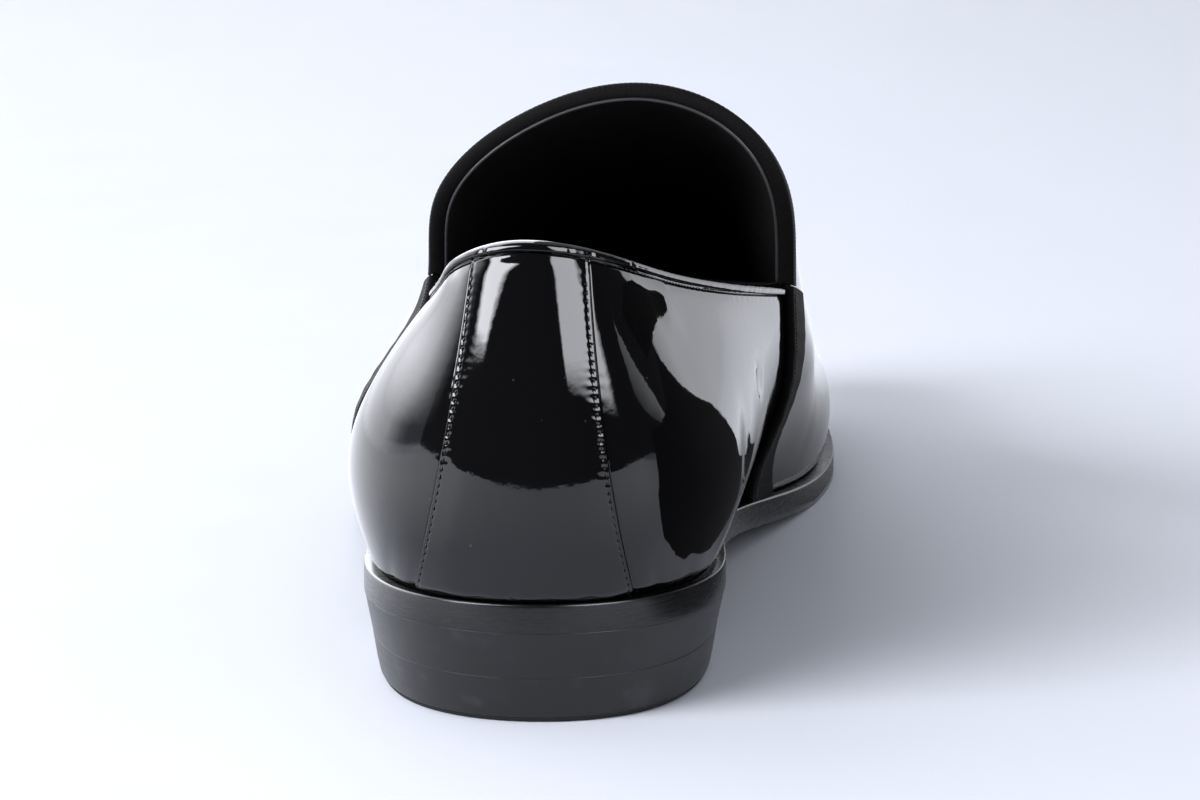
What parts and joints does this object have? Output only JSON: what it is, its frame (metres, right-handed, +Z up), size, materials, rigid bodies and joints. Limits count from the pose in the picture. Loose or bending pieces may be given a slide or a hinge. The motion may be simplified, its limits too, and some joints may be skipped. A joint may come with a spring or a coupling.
{
  "type": "patent leather loafer",
  "caption": "Left slip-on evening loafer with a hollow patent upper, high rounded throat bound in grosgrain ribbon, side bands, back counter, leather sole and stacked heel.",
  "frame": {"origin": "centre of the shoe's bounding box on the floor it stands on", "axes": "+Y from heel to toe, +X to the medial (big toe) side, +Z up"},
  "size_m": [0.097, 0.3, 0.1025],
  "materials": {
    "patent_leather": "black patent, mirror gloss",
    "grosgrain": "black cross-ribbed ribbon",
    "sock_leather": "black lining leather",
    "sole_leather": "black satin edge",
    "heel_leather": "black satin edge",
    "lift_rubber": "black satin"
  },
  "bodies": {
    "root": {"upper": "patent_leather", "back_counter": "patent_leather", "topline_binding": "patent_leather", "side_band_medial": "grosgrain", "side_band_lateral": "grosgrain", "throat_binding": "grosgrain", "insole": "sock_leather", "outsole": "sole_leather", "heel_stack": "heel_leather", "heel_top_lift": "lift_rubber"}
  },
  "joints": []
}
